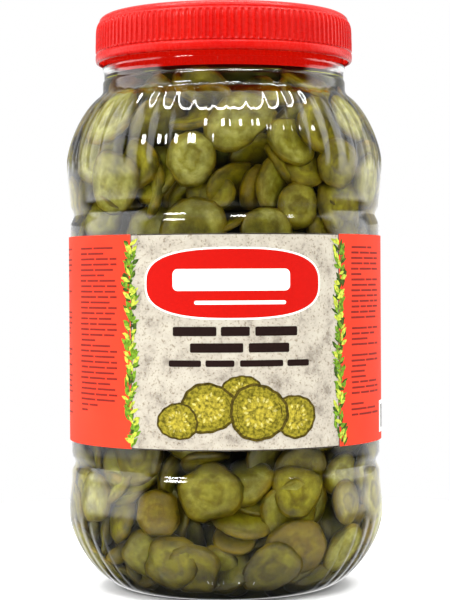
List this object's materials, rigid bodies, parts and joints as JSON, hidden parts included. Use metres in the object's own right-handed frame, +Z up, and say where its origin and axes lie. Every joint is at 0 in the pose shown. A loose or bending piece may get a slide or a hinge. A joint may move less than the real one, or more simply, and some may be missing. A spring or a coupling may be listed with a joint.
{
  "type": "pickle jar",
  "caption": "Clear fluted catering jar with a red ribbed screw lid and a wrap label, full of sliced pickled cucumbers in brine.",
  "frame": {"origin": "middle of the jar's base, on the floor it stands on", "axes": "+Z up along the jar's axis, -Y towards the middle of the label"},
  "size_m": [0.1528, 0.1528, 0.276],
  "materials": {
    "jar_body": "clear gloss PET",
    "lid": "semi-gloss red polypropylene",
    "label": "coated paper, cream with red sides",
    "pickles": "wet olive-green slices"
  },
  "bodies": {
    "root": {"jar_body": "jar_body", "lid": "lid", "label": "label", "pickles": "pickles"}
  },
  "joints": []
}
